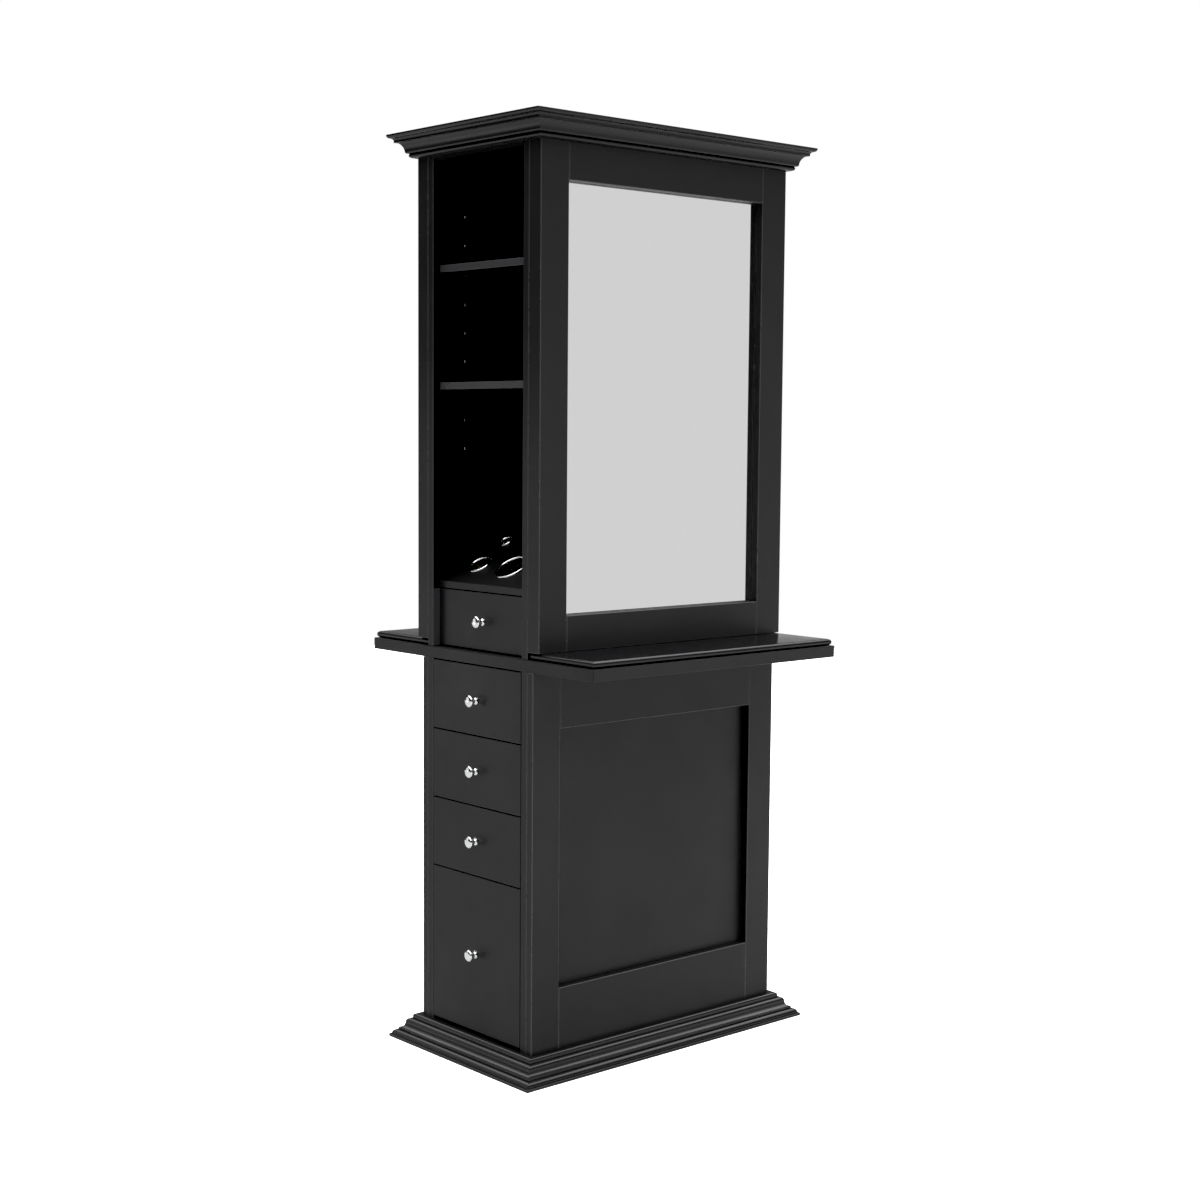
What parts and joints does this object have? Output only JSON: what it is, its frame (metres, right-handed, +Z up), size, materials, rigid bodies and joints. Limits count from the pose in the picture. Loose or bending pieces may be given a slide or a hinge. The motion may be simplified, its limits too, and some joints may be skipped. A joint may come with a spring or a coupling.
{
  "type": "salon styling station",
  "caption": "Double-sided salon styling island: framed mirror and counter on each long side, shelves, sloped hot-tool panel and sliding drawers at each end.",
  "frame": {"origin": "on the floor, under the middle of the cabinet", "axes": "+Z up; X runs along the cabinet's length, the mirrors face -Y and +Y, and the drawers slide out at the -X and +X ends"},
  "size_m": [0.84, 0.774, 2.032],
  "materials": {
    "satin_black_paint": "fibreboard with satin black lacquer",
    "cabinet_inside_black": "fibreboard with dull black lacquer",
    "counter_gloss_black": "bullnosed top with glossy black laminate",
    "polished_chrome": "polished",
    "mirror_glass": "silvered glass",
    "drawer_box_birch": "clear lacquered birch"
  },
  "bodies": {
    "cabinet": {"bottom_board": "cabinet_inside_black", "centre_divider": "cabinet_inside_black", "counter_board": "satin_black_paint", "counter_top_front": "counter_gloss_black", "counter_top_back": "counter_gloss_black", "crown_moulding": "satin_black_paint", "base_moulding": "satin_black_paint", "top_board": "satin_black_paint", "lower_side_front": "satin_black_paint", "lower_side_back": "satin_black_paint", "upper_side_front": "satin_black_paint", "upper_side_back": "satin_black_paint", "lower_frame_front": "satin_black_paint", "lower_frame_back": "satin_black_paint", "mirror_frame_front": "satin_black_paint", "mirror_frame_back": "satin_black_paint", "mirror_front": "mirror_glass", "mirror_back": "mirror_glass", "left_shelf_upper": "satin_black_paint", "left_shelf_lower": "satin_black_paint", "left_tool_panel": "satin_black_paint", "left_tool_ring_small": "polished_chrome", "left_tool_ring_medium": "polished_chrome", "left_tool_ring_large": "polished_chrome", "right_shelf_upper": "satin_black_paint", "right_shelf_lower": "satin_black_paint", "right_tool_panel": "satin_black_paint", "right_tool_ring_small": "polished_chrome", "right_tool_ring_medium": "polished_chrome", "right_tool_ring_large": "polished_chrome"},
    "left_drawer_1": {"left_drawer_1_front": "satin_black_paint", "left_drawer_1_box": "drawer_box_birch", "left_drawer_1_knob": "polished_chrome"},
    "left_drawer_2": {"left_drawer_2_front": "satin_black_paint", "left_drawer_2_box": "drawer_box_birch", "left_drawer_2_knob": "polished_chrome"},
    "left_drawer_3": {"left_drawer_3_front": "satin_black_paint", "left_drawer_3_box": "drawer_box_birch", "left_drawer_3_knob": "polished_chrome"},
    "left_drawer_4": {"left_drawer_4_front": "satin_black_paint", "left_drawer_4_box": "drawer_box_birch", "left_drawer_4_knob": "polished_chrome"},
    "left_drawer_5": {"left_drawer_5_front": "satin_black_paint", "left_drawer_5_box": "drawer_box_birch", "left_drawer_5_knob": "polished_chrome"},
    "right_drawer_1": {"right_drawer_1_front": "satin_black_paint", "right_drawer_1_box": "drawer_box_birch", "right_drawer_1_knob": "polished_chrome"},
    "right_drawer_2": {"right_drawer_2_front": "satin_black_paint", "right_drawer_2_box": "drawer_box_birch", "right_drawer_2_knob": "polished_chrome"},
    "right_drawer_3": {"right_drawer_3_front": "satin_black_paint", "right_drawer_3_box": "drawer_box_birch", "right_drawer_3_knob": "polished_chrome"},
    "right_drawer_4": {"right_drawer_4_front": "satin_black_paint", "right_drawer_4_box": "drawer_box_birch", "right_drawer_4_knob": "polished_chrome"},
    "right_drawer_5": {"right_drawer_5_front": "satin_black_paint", "right_drawer_5_box": "drawer_box_birch", "right_drawer_5_knob": "polished_chrome"}
  },
  "joints": [
    {"name": "left_drawer_1_slide", "type": "slide", "parent": "cabinet", "child": "left_drawer_1", "axis": [-1, 0, 0], "range_m": [0, 0.24]},
    {"name": "left_drawer_2_slide", "type": "slide", "parent": "cabinet", "child": "left_drawer_2", "axis": [-1, 0, 0], "range_m": [0, 0.24]},
    {"name": "left_drawer_3_slide", "type": "slide", "parent": "cabinet", "child": "left_drawer_3", "axis": [-1, 0, 0], "range_m": [0, 0.24]},
    {"name": "left_drawer_4_slide", "type": "slide", "parent": "cabinet", "child": "left_drawer_4", "axis": [-1, 0, 0], "range_m": [0, 0.24]},
    {"name": "left_drawer_5_slide", "type": "slide", "parent": "cabinet", "child": "left_drawer_5", "axis": [-1, 0, 0], "range_m": [0, 0.24]},
    {"name": "right_drawer_1_slide", "type": "slide", "parent": "cabinet", "child": "right_drawer_1", "axis": [1, 0, 0], "range_m": [0, 0.24]},
    {"name": "right_drawer_2_slide", "type": "slide", "parent": "cabinet", "child": "right_drawer_2", "axis": [1, 0, 0], "range_m": [0, 0.24]},
    {"name": "right_drawer_3_slide", "type": "slide", "parent": "cabinet", "child": "right_drawer_3", "axis": [1, 0, 0], "range_m": [0, 0.24]},
    {"name": "right_drawer_4_slide", "type": "slide", "parent": "cabinet", "child": "right_drawer_4", "axis": [1, 0, 0], "range_m": [0, 0.24]},
    {"name": "right_drawer_5_slide", "type": "slide", "parent": "cabinet", "child": "right_drawer_5", "axis": [1, 0, 0], "range_m": [0, 0.24]}
  ]
}
